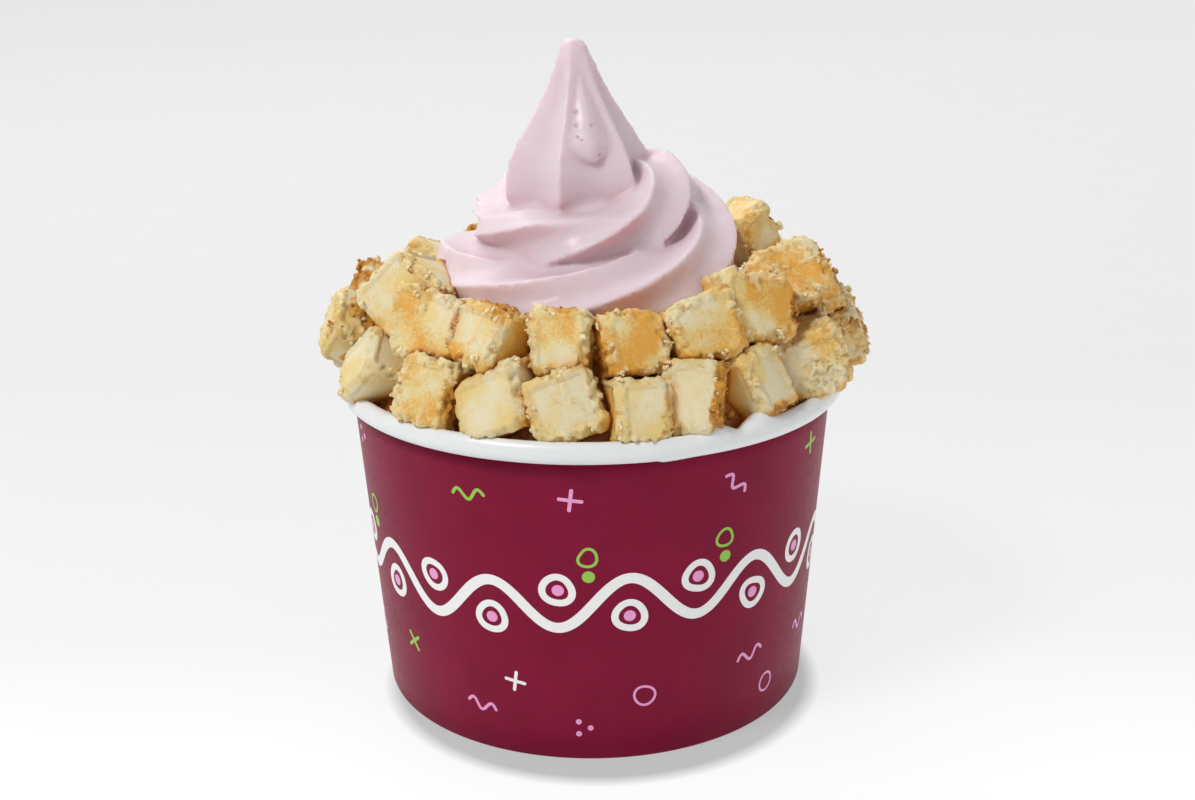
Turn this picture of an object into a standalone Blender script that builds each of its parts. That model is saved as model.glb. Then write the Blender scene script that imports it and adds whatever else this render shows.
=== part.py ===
"""A paper tub of soft-serve frozen yogurt with a ring of cheesecake bites round the swirl.

Metres, +Z up. The origin is the centre of the circle that the tub stands on, and -Y is the front.
A bearing is an angle round the tub in degrees: 0 at the front, 90 on the right (+X), 180 at the back.
"""

import itertools
import math
import random

import bmesh
import bpy
from mathutils import Matrix, Vector

# Paper tub
TUB_HEIGHT = 0.073
RIM_RADIUS = 0.056
CURL_HALF_WIDTH = 0.0018
CURL_HALF_HEIGHT = 0.0023
WALL_TOP_RADIUS = 0.0531
WALL_FOOT_RADIUS = 0.0481
BOARD = 0.0005
FOOT_FOLD_HEIGHT = 0.0060
BASE_HEIGHT = 0.0068
ROUND_STEPS = 48

# Every piece keeps this distance from its neighbours.
GAP = 0.0003
SLIVER = 0.000002

# Frozen yogurt: the mound inside the tub, the piped rope on it and the pulled peak.
# A turn is a place along the rope: whole at the tub's left, and rising round the front to the right.
FILL_HEIGHT = 0.0705
ROPE_CENTRE = Vector((0.0006, -0.0017, 0.0))
ROPE_FIRST_TURN = -0.35
ROPE_LAST_TURN = 1.80
ROPE_OPENS_AT = 1.30
ROPE_CURLS_AT = 1.55
ROPE_STEPS_PER_TURN = 26
ROPE_LOBES = 6
FLUTE_DEPTH = 0.24
POINTS_PER_LOBE = 4
ROPE_WIDENING = 1.06
PRESSED_SHARE = 0.85
PEAK_CENTRE = Vector((-0.0018, -0.0005, 0.0))
PEAK_LEAN = -0.0012
PEAK_TOP = 0.1441
PEAK_FOOT = 0.1020
PEAK_FOOT_RADIUS = 0.0172
PEAK_FIRST_CREST = -106.0
PEAK_STEPS = 13

# Cheesecake bites
BITE_SIZE = 0.0132
BITE_ROUNDING = 0.0021
BITE_CORNER_SHIFT = 0.0013
LOW_RADIUS = 0.0468
LOW_HEIGHT = 0.0778
HIGH_RADIUS = 0.0405
HIGH_HEIGHT = 0.0885

# Each visible bite: name, bearing, radius and height of its centre, width, height and depth as shares
# of BITE_SIZE, lean back, spin of its outer face and turn to the side, in degrees.
FRONT_BITES = (
    ("low_01", -64, 0.0490, 0.0785, 0.95, 1.15, 1.00, 20, 42, -8),
    ("low_02", -39.5, 0.0468, 0.0778, 1.02, 1.05, 1.00, 18, 6, 10),
    ("low_03", -23, 0.0468, 0.0774, 1.20, 0.98, 0.95, 18, -27, -4),
    ("low_04", -6, 0.0468, 0.0774, 1.16, 1.00, 0.95, 16, -20, 4),
    ("low_05", 10.5, 0.0472, 0.0768, 0.84, 1.12, 1.00, 16, 4, 2),
    ("low_06", 25, 0.0468, 0.0784, 0.92, 1.05, 0.95, 18, 14, -28),
    ("low_07", 43, 0.0470, 0.0784, 0.92, 1.10, 1.00, 18, -12, 6),
    ("low_08", 66, 0.0486, 0.0790, 1.25, 1.08, 1.15, 14, -8, 30),
    ("high_01", -65, 0.0402, 0.0918, 1.20, 1.25, 1.15, 34, 14, 32),
    ("high_02", -48, 0.0412, 0.0885, 1.22, 1.00, 1.00, 26, -8, 14),
    ("high_03", -28, 0.0405, 0.0885, 1.15, 0.98, 1.00, 24, 12, -12),
    ("high_04", -8, 0.0402, 0.0882, 0.94, 0.98, 1.00, 22, 3, 0),
    ("high_05", 11, 0.0402, 0.0880, 1.02, 0.98, 1.00, 22, -6, 4),
    ("high_06", 31, 0.0408, 0.0890, 1.12, 0.95, 1.00, 24, -6, -10),
    ("high_07", 50, 0.0412, 0.0905, 1.25, 1.05, 1.05, 26, 20, -14),
    ("high_08", 75, 0.0448, 0.0935, 1.15, 1.05, 1.15, 30, 26, 12),
    ("side_01", -83, 0.0522, 0.0824, 0.95, 0.98, 0.95, 30, 40, 6),
    ("side_02", -96, 0.0478, 0.0868, 0.90, 0.95, 0.90, 34, 12, 14),
    ("side_03", 88, 0.0525, 0.0808, 1.05, 1.05, 1.00, 24, -20, -10),
    ("side_04", 97, 0.0468, 0.0895, 1.10, 1.05, 1.00, 32, 14, 8),
    ("side_05", 121, 0.0415, 0.0968, 0.95, 0.95, 1.00, 20, 8, 20),
)

# The rest of the ring, out of the front view, is laid by rule: row, first and last bearing, how many.
BACK_ROWS = (("low", 110, 256, 8, LOW_RADIUS, LOW_HEIGHT), ("high", 142, 238, 5, HIGH_RADIUS, HIGH_HEIGHT))
BACK_SEED = 7

WINE = (0.20, 0.010, 0.045)
YOGURT_PINK = (0.76, 0.58, 0.63)
CHEESECAKE_CREAM = (0.78, 0.60, 0.33)
BOARD_WHITE = (0.83, 0.84, 0.85)


def clear_scene():
    for obj in list(bpy.data.objects):
        bpy.data.objects.remove(obj)


def finish_material(name, colour, roughness):
    made = bpy.data.materials.new(name)
    made.use_nodes = True
    shader = made.node_tree.nodes["Principled BSDF"]
    shader.inputs["Base Color"].default_value = (*colour, 1.0)
    shader.inputs["Roughness"].default_value = roughness
    shader.inputs["Metallic"].default_value = 0.0
    return made


def object_from(bm, name, finish=None):
    """A smooth-shaded object of a bmesh, with its faces pointing out."""
    bmesh.ops.recalc_face_normals(bm, faces=bm.faces)
    mesh = bpy.data.meshes.new(name)
    bm.to_mesh(mesh)
    bm.free()
    if finish:
        mesh.materials.append(finish)
    mesh.shade_smooth()
    mesh.set_sharp_from_angle(angle=math.radians(35))
    obj = bpy.data.objects.new(name, mesh)
    bpy.context.scene.collection.objects.link(obj)
    return obj


def turned(profile, steps, closed):
    """A bmesh of a profile of (radius, height) points turned round the Z axis."""
    bm = bmesh.new()
    points = [bm.verts.new((radius, 0.0, height)) for radius, height in profile]
    pairs = list(zip(points, points[1:]))
    if closed:
        pairs.append((points[-1], points[0]))
    edges = [bm.edges.new(pair) for pair in pairs]
    bmesh.ops.spin(
        bm, geom=points + edges, cent=(0, 0, 0), axis=(0, 0, 1), angle=2 * math.pi, steps=steps,
        use_merge=True,
    )
    bmesh.ops.remove_doubles(bm, verts=bm.verts, dist=1e-6)
    return bm


def arc(centre, half_width, half_height, start, end, steps):
    """Points on an ellipse from one angle to another, in degrees."""
    found = []
    for i in range(steps + 1):
        angle = math.radians(start + (end - start) * i / steps)
        found.append((centre[0] + half_width * math.cos(angle), centre[1] + half_height * math.sin(angle)))
    return found


def wall_outer_radius(height):
    """The tub wall's outer radius at a height: a straight cone from the foot to under the rim."""
    share = height / (TUB_HEIGHT - 2 * CURL_HALF_HEIGHT)
    return WALL_FOOT_RADIUS + (WALL_TOP_RADIUS - WALL_FOOT_RADIUS) * share


def wall_inner_radius(height):
    return wall_outer_radius(height) - BOARD


def make_tub_wall(finish):
    """The conical side wall: a hollow curl at its rim, and a fold at its foot that grips the base."""
    curl_centre = (RIM_RADIUS - CURL_HALF_WIDTH, TUB_HEIGHT - CURL_HALF_HEIGHT)
    tail_angle = -112
    outer_curl = arc(curl_centre, CURL_HALF_WIDTH, CURL_HALF_HEIGHT, 180, tail_angle, 8)
    inner_curl = arc(
        curl_centre, CURL_HALF_WIDTH - BOARD, CURL_HALF_HEIGHT - BOARD, tail_angle, 162, 6
    )
    fold_outer = wall_inner_radius(0) - 2 * GAP - BOARD
    fold_inner = fold_outer - BOARD
    profile = [
        *outer_curl,
        *inner_curl,
        (wall_outer_radius(curl_centre[1] - CURL_HALF_HEIGHT), curl_centre[1] - CURL_HALF_HEIGHT),
        (WALL_FOOT_RADIUS, 0.0),
        (fold_inner, 0.0),
        (fold_inner, FOOT_FOLD_HEIGHT),
        (fold_outer, FOOT_FOLD_HEIGHT),
        (fold_outer, BOARD),
        (wall_inner_radius(BOARD), BOARD),
    ]
    return object_from(turned(profile, ROUND_STEPS, closed=True), "tub_wall", finish)


def make_tub_base(finish):
    """The round floor of the tub, set up inside the wall, with the skirt that the foot's fold grips."""
    skirt_foot = BOARD + GAP
    skirt_outer = wall_inner_radius(0) - GAP
    disc_top = BASE_HEIGHT + BOARD
    profile = [
        (0.0, disc_top),
        (skirt_outer, disc_top),
        (skirt_outer, skirt_foot),
        (skirt_outer - BOARD, skirt_foot),
        (skirt_outer - BOARD, BASE_HEIGHT),
        (0.0, BASE_HEIGHT),
    ]
    return object_from(turned(profile, ROUND_STEPS, closed=False), "tub_base", finish)


def make_mound():
    """The yogurt inside the tub, heaped above the rim where the bites and the piped rope lie on it."""
    floor = BASE_HEIGHT + BOARD + GAP
    profile = [
        (0.0, floor),
        (wall_inner_radius(floor) - GAP, floor),
        (wall_inner_radius(FILL_HEIGHT) - 1.5 * GAP, FILL_HEIGHT),
        (0.0490, 0.0740),
        (0.0450, 0.0790),
        (0.0400, 0.0840),
        (0.0368, 0.0890),
        (0.0335, 0.0925),
        (0.0242, 0.1015),
        (0.0212, 0.1070),
        (0.0120, 0.1125),
        (0.0, 0.1170),
    ]
    return object_from(turned(profile, ROUND_STEPS, closed=False), "mound")


def smooth_step(share):
    share = min(1.0, max(0.0, share))
    return share * share * (3 - 2 * share)


def star(radius, phase, flute_depth=FLUTE_DEPTH):
    """A star nozzle's section: lobes with crisp crests and hollow flutes, as (across, up) points."""
    count = ROPE_LOBES * POINTS_PER_LOBE
    found = []
    for i in range(count):
        angle = 2 * math.pi * i / count
        reach = radius * (1 - flute_depth * abs(math.sin(ROPE_LOBES / 2 * angle)) ** 0.8)
        turned_to = angle + math.radians(phase)
        found.append((reach * math.cos(turned_to), reach * math.sin(turned_to)))
    return found


def outward(bearing):
    angle = math.radians(bearing)
    return Vector((math.sin(angle), -math.cos(angle), 0.0))


def rope_place(turn):
    """The rope at a turn: its bearing, distance from the rope's axis, height, thickness and twist."""
    bearing = 270 + 360 * turn
    opened = max(0.0, turn - ROPE_OPENS_AT)
    curled = max(0.0, turn - ROPE_CURLS_AT)
    begun = smooth_step((turn - ROPE_FIRST_TURN) / 0.15)
    distance = 0.0279 - 0.0119 * turn + 0.0007 * turn**2 + 0.039 * opened**2 - 0.11 * curled**1.5
    height = 0.0926 + 0.0194 * turn - 0.0048 * turn**2 - 0.028 * opened**2 + 0.26 * curled**3
    height -= 0.0044 * math.cos(math.radians(bearing)) + 0.0040 * (1 - begun)
    thickness = (0.0095 + 0.0004 * turn - 0.02 * curled) * (0.6 + 0.4 * begun)
    twist = 3 + 278 * turn + 47 * turn**2
    return bearing, distance, height, thickness, twist


def rope_centre(turn):
    bearing, distance, height, _, _ = rope_place(turn)
    return ROPE_CENTRE + outward(bearing) * distance + Vector((0, 0, height))


def rope_pressing(turn):
    """How far the rope's top is pressed down where the peak was drawn off over it, as a share."""
    on_the_left = smooth_step((1.12 - turn) / 0.12)
    begun = smooth_step((turn - 0.78) / 0.20)
    return begun * (0.56 + 0.49 * on_the_left) * smooth_step((1.44 - turn) / 0.14)


def rope_section(turn):
    """One ring of the rope, square to its centre line."""
    bearing, _, _, thickness, twist = rope_place(turn)
    along = (rope_centre(turn + 0.01) - rope_centre(turn - 0.01)).normalized()
    across = outward(bearing)
    across = (across - along * across.dot(along)).normalized()
    up = across.cross(along)
    centre = rope_centre(turn)
    ceiling = thickness * (1 - rope_pressing(turn))
    ring = []
    for x, z in star(thickness, twist):
        above = max(0.0, z / ROPE_WIDENING - ceiling)
        ring.append(centre + across * x * ROPE_WIDENING + up * (z / ROPE_WIDENING - PRESSED_SHARE * above))
    return ring


def loft(rings, name):
    """A closed solid through rings of the same number of points, with a fan at each end."""
    bm = bmesh.new()
    rows = [[bm.verts.new(point) for point in ring] for ring in rings]
    for first, second in zip(rows, rows[1:]):
        for i in range(len(first)):
            j = (i + 1) % len(first)
            bm.faces.new((first[i], first[j], second[j], second[i]))
    for row in (rows[0], rows[-1]):
        middle = bm.verts.new(sum((v.co for v in row), Vector()) / len(row))
        for i in range(len(row)):
            bm.faces.new((row[i], row[(i + 1) % len(row)], middle))
    return object_from(bm, name)


def make_rope():
    steps = round((ROPE_LAST_TURN - ROPE_FIRST_TURN) * ROPE_STEPS_PER_TURN)
    turns = [ROPE_FIRST_TURN + i / ROPE_STEPS_PER_TURN for i in range(steps + 1)]
    return loft([rope_section(turn) for turn in turns], "rope")


def peak_radius(height):
    """The pulled peak has a round tip, hollow flanks above and a full foot."""
    below_tip = PEAK_TOP - height
    flank = 0.0027 + 0.30 * below_tip + 10.5 * below_tip**2
    tip = math.sqrt(max(0.0, 2 * 0.0034 * below_tip - below_tip**2)) if below_tip < 0.0034 else flank
    return (min(flank, tip) ** -8 + PEAK_FOOT_RADIUS**-8) ** -0.125


def make_peak():
    """The star-shaped peak that ends the swirl, its flutes fading towards the tip."""
    rings = []
    for i in range(PEAK_STEPS + 1):
        share = i / PEAK_STEPS
        height = PEAK_FOOT + (PEAK_TOP - PEAK_FOOT) * (1 - (1 - share) ** 1.5) - 0.0002
        depth = FLUTE_DEPTH * (1 - 0.5 * share)
        centre = PEAK_CENTRE + Vector((PEAK_LEAN * share**2, 0, height))
        rings.append([centre + Vector((x, y, 0)) for x, y in star(peak_radius(height), PEAK_FIRST_CREST, depth)])
    return loft(rings, "peak")


def bite_matrix(bearing, radius, height, lean, spin, turn):
    """Where a bite lies: its local -Y is its outer face, and +Z its top."""
    place = Matrix.Translation(outward(bearing) * radius + Vector((0, 0, height)))
    face_out = Matrix.Rotation(math.radians(bearing), 4, "Z")
    lean_back = Matrix.Rotation(-math.radians(lean), 4, "X")
    spun = Matrix.Rotation(math.radians(spin), 4, "Y")
    turned_aside = Matrix.Rotation(math.radians(turn), 4, "Z")
    return place @ face_out @ lean_back @ spun @ turned_aside


def make_bite(name, shares, matrix, finish, grow=0.0):
    """A hand-cut cube with chamfered edges, whose corners are shifted at random.

    It is a convex hull, so that the hollow cut by a grown copy holds the bite with a gap all round."""
    draw = random.Random(name)
    half = Vector(shares) * (BITE_SIZE / 2)
    shift = {
        corner: Vector([draw.uniform(-1, 1) * BITE_CORNER_SHIFT for _ in range(3)])
        for corner in itertools.product((False, True), repeat=3)
    }
    bm = bmesh.new()
    bmesh.ops.create_cube(bm, size=2.0)
    for vert in bm.verts:
        vert.co = Vector([vert.co[i] * half[i] for i in range(3)]) + shift[tuple(c > 0 for c in vert.co)]
    bmesh.ops.bevel(bm, geom=bm.edges[:], offset=BITE_ROUNDING, segments=1, affect="EDGES")
    corners = [vert.co + vert.co.normalized() * grow for vert in bm.verts]
    bm.clear()
    hull = bmesh.ops.convex_hull(bm, input=[bm.verts.new(corner) for corner in corners])
    bmesh.ops.delete(bm, geom=hull["geom_unused"] + hull["geom_interior"], context="VERTS")
    bmesh.ops.transform(bm, matrix=matrix, verts=bm.verts)
    return object_from(bm, name, finish)


def every_bite():
    """(name, size shares, matrix) of each bite: the visible ones as placed, the rest by rule."""
    found = []
    for name, bearing, radius, height, width, tall, deep, lean, spin, turn in FRONT_BITES:
        matrix = bite_matrix(bearing, radius, height, lean, spin, turn)
        found.append((f"bite_{name}", (width, deep, tall), matrix))
    draw = random.Random(BACK_SEED)
    for row, first, last, count, radius, height in BACK_ROWS:
        for i in range(count):
            bearing = first + (last - first) * i / (count - 1) + draw.uniform(-2, 2)
            shares = [draw.uniform(0.90, 1.12) for _ in range(3)]
            lean = draw.uniform(14, 26)
            spin = draw.uniform(-28, 28)
            turn = draw.uniform(-20, 20)
            matrix = bite_matrix(bearing, radius, height + draw.uniform(-0.001, 0.001), lean, spin, turn)
            found.append((f"bite_{row}_back_{i + 1:02d}", shares, matrix))
    return found


def combine(target, others, operation, crosses_itself=False):
    """Joins the others to the target, or cuts them from it, and removes them."""
    group = bpy.data.collections.new(f"{target.name}_{operation.lower()}")
    bpy.context.scene.collection.children.link(group)
    for obj in others:
        bpy.context.scene.collection.objects.unlink(obj)
        group.objects.link(obj)
    boolean = target.modifiers.new(operation.title(), "BOOLEAN")
    boolean.operation = operation
    boolean.operand_type = "COLLECTION"
    boolean.collection = group
    boolean.solver = "EXACT" if crosses_itself else "MANIFOLD"
    boolean.use_self = crosses_itself
    graph = bpy.context.evaluated_depsgraph_get()
    mesh = bpy.data.meshes.new_from_object(target.evaluated_get(graph))
    target.modifiers.clear()
    target.data = mesh
    for obj in others:
        bpy.data.objects.remove(obj)
    bpy.data.collections.remove(group)
    return target


def make_rim_keep_out():
    """The rim's curl, grown by the gap: bites that lean on the rim are shaped by it."""
    centre = (RIM_RADIUS - CURL_HALF_WIDTH, TUB_HEIGHT - CURL_HALF_HEIGHT)
    profile = arc(centre, CURL_HALF_WIDTH + GAP, CURL_HALF_HEIGHT + GAP, 180, -180, 12)[:-1]
    return object_from(turned(profile, ROUND_STEPS, closed=True), "rim_keep_out")


def make_bites(finish):
    """Soft bites give way to what they lie against: the rim, and the neighbours placed before them."""
    made = []
    placed = []
    for name, shares, matrix in every_bite():
        bite = make_bite(name, shares, matrix, finish)
        cutters = [
            make_bite(other, other_shares, other_matrix, None, grow=GAP)
            for other, other_shares, other_matrix in placed
            if (other_matrix.translation - matrix.translation).length < 1.9 * BITE_SIZE
        ]
        if min(corner[2] for corner in bite.bound_box) < TUB_HEIGHT:
            cutters.append(make_rim_keep_out())
        made.append(combine(bite, cutters, "DIFFERENCE") if cutters else bite)
        placed.append((name, shares, matrix))
    return made


def keep_main_body(obj):
    """Leaves out the slivers that the cuts free from a body."""
    bm = bmesh.new()
    bm.from_mesh(obj.data)
    bmesh.ops.remove_doubles(bm, verts=bm.verts, dist=SLIVER)
    unseen = set(bm.faces)
    bodies = []
    while unseen:
        body = [unseen.pop()]
        for face in body:
            beside = {other for edge in face.edges for other in edge.link_faces} & unseen
            unseen -= beside
            body.extend(beside)
        bodies.append(body)
    bodies.sort(key=len)
    bmesh.ops.delete(bm, geom=[face for body in bodies[:-1] for face in body], context="FACES")
    bm.to_mesh(obj.data)
    bm.free()


def make_yogurt(finish):
    """The yogurt is one body: the mound, the rope and the peak, less the hollows where bites press in."""
    yogurt = combine(make_mound(), [make_rope(), make_peak()], "UNION", crosses_itself=True)
    for name, shares, matrix in every_bite():
        combine(yogurt, [make_bite(name, shares, matrix, None, grow=GAP)], "DIFFERENCE")
    keep_main_body(yogurt)
    yogurt.name = "frozen_yogurt"
    yogurt.data.materials.clear()
    yogurt.data.materials.append(finish)
    return yogurt


def main():
    clear_scene()
    make_tub_wall(finish_material("printed board", WINE, 0.45))
    make_tub_base(finish_material("plain board", BOARD_WHITE, 0.5))
    make_yogurt(finish_material("frozen yogurt", YOGURT_PINK, 0.35))
    make_bites(finish_material("cheesecake", CHEESECAKE_CREAM, 0.6))


main()
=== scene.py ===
"""Looks of the frozen yogurt cup: surfaces, colours, fine relief, crumbs, floor, lights and camera.

Metres, +Z up. The origin is the centre of the circle that the tub stands on, and -Y is the front.
A bearing is an angle round the tub in degrees: 0 at the front, 90 on the right (+X), 180 at the back.
"""

import itertools
import math
import random

import bmesh
import bpy
import numpy as np
from mathutils import Matrix, Vector, noise
from mathutils.bvhtree import BVHTree


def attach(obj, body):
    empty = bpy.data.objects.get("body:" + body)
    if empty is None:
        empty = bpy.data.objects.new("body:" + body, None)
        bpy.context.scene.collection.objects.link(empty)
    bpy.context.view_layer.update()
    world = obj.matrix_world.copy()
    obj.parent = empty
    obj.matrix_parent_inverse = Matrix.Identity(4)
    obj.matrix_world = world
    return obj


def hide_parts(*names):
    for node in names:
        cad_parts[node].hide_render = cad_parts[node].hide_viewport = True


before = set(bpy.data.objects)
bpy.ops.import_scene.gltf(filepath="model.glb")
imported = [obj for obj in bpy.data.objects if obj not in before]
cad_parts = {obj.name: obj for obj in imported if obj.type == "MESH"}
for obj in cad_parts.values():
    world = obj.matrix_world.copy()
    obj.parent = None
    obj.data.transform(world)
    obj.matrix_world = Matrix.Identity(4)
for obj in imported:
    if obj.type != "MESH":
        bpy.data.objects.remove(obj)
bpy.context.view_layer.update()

MM = 0.001

# Paper tub, as in the solids
TUB_HEIGHT = 0.073
RIM_RADIUS = 0.056
CURL_HALF_WIDTH = 0.0018
CURL_HALF_HEIGHT = 0.0023
WALL_TOP_RADIUS = 0.0531
WALL_FOOT_RADIUS = 0.0481
BOARD = 0.0005
GAP = 0.0003
FOOT_FOLD_HEIGHT = 0.0060
BOARD_SWAY = 0.00005
WALL_STEPS = 256
RIM_STEPS = 512

# The rim's curl ends below, at this angle in degrees, and lies a hair inside the solid
CURL_TAIL = -112
CURL_INSET = 0.00003
CURL_STEPS = 26
CURL_INNER_STEPS = 10

# The rim's overlapped seam, and its soft puckers (bearing, width, rise): degrees and metres
SEAM_BEARING = 11.5
SEAM_STEP = 0.00028
SEAM_FADE = 9.0
SEAM_SLANT = 6.0
RIM_PUCKERS = ((26.5, 2.9, 0.0015), (38.0, 3.4, 0.0017), (32.3, 1.4, -0.0007))

# Frozen yogurt, as in the solids. A turn is a place along the rope.
ROPE_CENTRE = Vector((0.0006, -0.0017, 0.0))
ROPE_FIRST_TURN = -0.35
ROPE_LAST_TURN = 1.80
ROPE_OPENS_AT = 1.30
ROPE_CURLS_AT = 1.55
ROPE_STEPS_PER_TURN = 130
ROPE_LOBES = 6
FLUTE_DEPTH = 0.24
POINTS_PER_LOBE = 14
ROPE_WIDENING = 1.06
PRESSED_SHARE = 0.85
PEAK_CENTRE = Vector((-0.0018, -0.0005, 0.0))
PEAK_LEAN = -0.0012
PEAK_TOP = 0.1441
PEAK_TIP_RADIUS = 0.0034
PEAK_FOOT = 0.1020
PEAK_FOOT_RADIUS = 0.0172
PEAK_FIRST_CREST = -106.0
PEAK_STEPS = 70
PEAK_SINK = 0.0002
YOGURT_VOXEL = 0.00061

# The yogurt inside the tub, as (radius, height) of its bottom and its top
TUB_FILL = ((0.0480, 0.0077), (0.0518, 0.0682))

# The teardrop that bulges out of a flute of the peak, and the air holes: azimuth in degrees, height
DROP_AZIMUTH = -77.0
DROP_TOP = 0.1375
DROP_FOOT = 0.1195
DROP_HALF_WIDTH = 0.0055
DROP_STANDS_OUT = 0.0030
AIR_HOLES = (
    (-92, 0.1298), (-91, 0.1270), (-74, 0.1272), (-90, 0.1250), (-86, 0.1245), (-69, 0.1212),
)
HOLE_RADIUS = 0.00050
HOLE_DEPTH = 0.0005

# Yogurt gets painted brown shade this close to a bite, outside this radius by the rim, and below this height
GAP_SHADE_REACH = 0.0030
GAP_SHADE_RADIUS = 0.040
GAP_SHADE_TOP = 0.095

# The coils' undersides get painted shade below this height, and the peak's do not
SHADE_PAINT_TOP = 0.118

# Colours, linear
WINE = (0.210, 0.0038, 0.033)
COATED_WHITE = (0.78, 0.80, 0.81)
YOGURT_PINK = (0.71, 0.585, 0.64)
# The next colour is painted shade that deepens the yogurt's pink, and the one after it is painted shade in
# the air holes
YOGURT_PAINTED_SHADE = (0.56, 0.25, 0.28)
YOGURT_SHADE_IN_HOLES = (0.42, 0.20, 0.24)
CREAM = (0.76, 0.585, 0.235)
PALE_CREAM = (0.76, 0.69, 0.47)
PALE_CRUMB = (0.90, 0.79, 0.49)
# The next colour is painted shade on the bites and in the yogurt's gaps, and also the base of the browned
# crust
AMBER = (0.76, 0.37, 0.03)
GOLDEN = (0.72, 0.36, 0.05)
BROWNED = (0.40, 0.14, 0.018)
# The next colour is painted shade: where bites touch, and in the yogurt's gaps
DEEP_SHADE = (0.45, 0.12, 0.016)
LOOSE_CRUMBS = {"pale": (0.88, 0.73, 0.42), "browned": (0.58, 0.27, 0.05)}
PRINT_COLOURS = {"white": (0.86, 0.86, 0.86), "pink": (0.80, 0.33, 0.62), "green": (0.28, 0.55, 0.06)}


def mesh_piece(name, mesh, finish, replaced=()):
    """Shows a mesh as a piece of the object, on its only body."""
    piece = bpy.data.objects.new(name, mesh)
    bpy.context.scene.collection.objects.link(piece)
    mesh.materials.clear()
    mesh.materials.append(finish)
    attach(piece, "root")
    if replaced:
        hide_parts(*replaced)
    return piece


def mesh_from(bm, name):
    """A smooth-shaded mesh of a bmesh, with its faces pointing out."""
    bmesh.ops.recalc_face_normals(bm, faces=bm.faces)
    mesh = bpy.data.meshes.new(name)
    bm.to_mesh(mesh)
    bm.free()
    mesh.shade_smooth()
    return mesh


def with_modifiers(mesh, *modifiers):
    """The mesh after a list of modifiers, each given as (kind, settings)."""
    carrier = bpy.data.objects.new("carrier", mesh)
    bpy.context.scene.collection.objects.link(carrier)
    for kind, settings in modifiers:
        modifier = carrier.modifiers.new(kind.title(), kind)
        for key, value in settings.items():
            setattr(modifier, key, value)
    graph = bpy.context.evaluated_depsgraph_get()
    made = bpy.data.meshes.new_from_object(carrier.evaluated_get(graph))
    bpy.data.objects.remove(carrier)
    made.shade_smooth()
    return made


def remeshed(mesh, voxel, smoothing):
    """One even skin over all the closed shapes of a mesh."""
    return with_modifiers(
        mesh,
        ("REMESH", {"mode": "VOXEL", "voxel_size": voxel, "use_smooth_shade": True}),
        ("SMOOTH", {"factor": 0.5, "iterations": smoothing}),
    )


def points_of(mesh):
    found = np.empty(len(mesh.vertices) * 3)
    mesh.vertices.foreach_get("co", found)
    return found.reshape(-1, 3)


def normals_of(mesh):
    found = np.empty(len(mesh.vertices) * 3)
    mesh.vertices.foreach_get("normal", found)
    return found.reshape(-1, 3)


def move_points(mesh, points):
    mesh.vertices.foreach_set("co", points.ravel())
    mesh.update()


def paint(mesh, name, values):
    """Keeps one number for each point of the mesh, for its material to read."""
    mesh.attributes.new(name, "FLOAT", "POINT").data.foreach_set("value", values.astype(np.float32))


LATTICE_ORDER = np.random.default_rng(4).permutation(256)
LATTICE_SLOPES = np.random.default_rng(5).normal(size=(256, 3))
LATTICE_SLOPES /= np.linalg.norm(LATTICE_SLOPES, axis=1)[:, None]


def noise_at(points, scale, seed=0.0):
    """Smooth noise of about -1 to 1 at each point; scale is in waves per metre."""
    at = points * scale + np.array((seed, -seed, 0.37 * seed))
    cell = np.floor(at).astype(int)
    part = at - cell
    fade = part**3 * (part * (part * 6 - 15) + 10)
    total = np.zeros(len(points))
    for corner in itertools.product((0, 1), repeat=3):
        x, y, z = ((cell + corner) & 255).T
        slope = LATTICE_SLOPES[LATTICE_ORDER[(LATTICE_ORDER[(LATTICE_ORDER[x] + y) & 255] + z) & 255]]
        share = np.prod(np.where(np.array(corner) == 1, fade, 1 - fade), axis=1)
        total += share * np.sum(slope * (part - corner), axis=1)
    return 1.5 * total


def smooth_step(share):
    share = np.clip(share, 0.0, 1.0)
    return share * share * (3 - 2 * share)


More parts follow.
